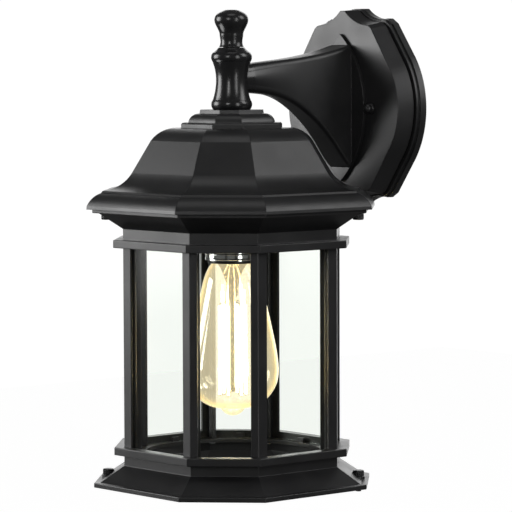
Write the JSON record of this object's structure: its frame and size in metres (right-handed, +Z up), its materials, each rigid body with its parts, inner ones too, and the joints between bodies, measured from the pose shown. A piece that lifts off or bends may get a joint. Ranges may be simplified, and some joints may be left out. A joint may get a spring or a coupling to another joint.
{
  "type": "outdoor wall lantern",
  "caption": "Eight-sided outdoor wall lantern with clear glass panes, a stepped roof, a turned finial and a cast arm on a shield-shaped wall plate.",
  "frame": {"origin": "centre of the mounting strap's two screw slots, on the wall's surface", "axes": "-Y straight out from the wall, +Z up, +X to the right for someone facing the wall"},
  "size_m": [0.1872, 0.2236, 0.3466],
  "materials": {
    "black_casting": "satin black powder coat on die-cast aluminium",
    "black_hardware": "black painted steel",
    "zinc_steel": "zinc-plated steel",
    "green_screw": "green",
    "green_wire": "insulated copper",
    "black_wire": "insulated copper",
    "white_wire": "insulated copper",
    "orange_plastic": "moulded",
    "bright_cup": "bright nickel plate",
    "dark_phenolic": "moulded phenolic",
    "brass_shell": "rolled",
    "bulb_glass": "clear amber-tinted glass",
    "bulb_cap": "rolled",
    "bulb_insulator": "black glass",
    "solder": "solder",
    "stem_glass": "clear glass",
    "filament": "glowing warm white",
    "pane_glass": "clear float glass"
  },
  "bodies": {
    "fixture": {"wall_plate": "black_casting", "mounting_strap": "zinc_steel", "strap_studs": "zinc_steel", "stud_nuts": "zinc_steel", "ground_screw": "green_screw", "ground_lug_screw": "zinc_steel", "ground_wire": "green_wire", "lead_black": "black_wire", "lead_white": "white_wire", "wire_nut_black": "orange_plastic", "wire_nut_white": "orange_plastic", "arm": "black_casting", "arm_screws": "zinc_steel", "roof": "black_casting", "roof_cap": "black_casting", "nipple": "zinc_steel", "nipple_nuts": "zinc_steel", "roof_washer": "zinc_steel", "socket_cup": "bright_cup", "socket_body": "dark_phenolic", "socket_shell": "brass_shell", "socket_contact": "brass_shell"},
    "cage": {"bottom_frame": "black_casting", "top_frame": "black_casting", "post_screws": "zinc_steel", "thumb_nuts": "zinc_steel", "post_1": "black_casting", "post_2": "black_casting", "post_3": "black_casting", "post_4": "black_casting", "post_5": "black_casting", "post_6": "black_casting", "post_7": "black_casting", "post_8": "black_casting", "pane_wide_1": "pane_glass", "pane_wide_2": "pane_glass", "pane_wide_3": "pane_glass", "pane_wide_4": "pane_glass", "pane_corner_1": "pane_glass", "pane_corner_2": "pane_glass", "pane_corner_3": "pane_glass", "pane_corner_4": "pane_glass"},
    "bulb": {"bulb_envelope": "bulb_glass", "bulb_base": "bulb_cap", "bulb_insulator": "bulb_insulator", "bulb_contact": "solder", "bulb_mount": "stem_glass", "bulb_filaments": "filament"},
    "finial": {"finial": "black_casting"},
    "cap_nut_left": {"cap_nut_left": "black_hardware"},
    "cap_nut_right": {"cap_nut_right": "black_hardware"},
    "thumb_screw_lower_1": {"thumb_screw_lower_1": "black_hardware"},
    "thumb_screw_lower_2": {"thumb_screw_lower_2": "black_hardware"},
    "thumb_screw_upper_1": {"thumb_screw_upper_1": "black_hardware"},
    "thumb_screw_upper_2": {"thumb_screw_upper_2": "black_hardware"}
  },
  "joints": [
    {"name": "cage_drop", "type": "slide", "parent": "fixture", "child": "cage", "axis": [0, 0, -1], "range_m": [0, 0.165]},
    {"name": "bulb_turn", "type": "hinge", "parent": "fixture", "child": "bulb", "pos_m": [0, -0.13, -0.098], "axis": [0, 0, 1], "continuous": true},
    {"name": "finial_turn", "type": "hinge", "parent": "fixture", "child": "finial", "pos_m": [0, -0.13, 0.045], "axis": [0, 0, 1], "continuous": true},
    {"name": "cap_nut_left_turn", "type": "hinge", "parent": "fixture", "child": "cap_nut_left", "pos_m": [-0.031, -0.0245, 0], "axis": [0, -1, 0], "continuous": true},
    {"name": "cap_nut_right_turn", "type": "hinge", "parent": "fixture", "child": "cap_nut_right", "pos_m": [0.031, -0.0245, 0], "axis": [0, -1, 0], "continuous": true},
    {"name": "thumb_screw_lower_1_turn", "type": "hinge", "parent": "cage", "child": "thumb_screw_lower_1", "pos_m": [0.06385, -0.06615, -0.261], "axis": [0, 0, 1], "continuous": true},
    {"name": "thumb_screw_lower_2_turn", "type": "hinge", "parent": "cage", "child": "thumb_screw_lower_2", "pos_m": [-0.06385, -0.19385, -0.261], "axis": [0, 0, 1], "continuous": true},
    {"name": "thumb_screw_upper_1_turn", "type": "hinge", "parent": "cage", "child": "thumb_screw_upper_1", "pos_m": [0.06385, -0.06615, -0.0757], "axis": [0, 0, 1], "continuous": true},
    {"name": "thumb_screw_upper_2_turn", "type": "hinge", "parent": "cage", "child": "thumb_screw_upper_2", "pos_m": [-0.06385, -0.19385, -0.0757], "axis": [0, 0, 1], "continuous": true}
  ]
}
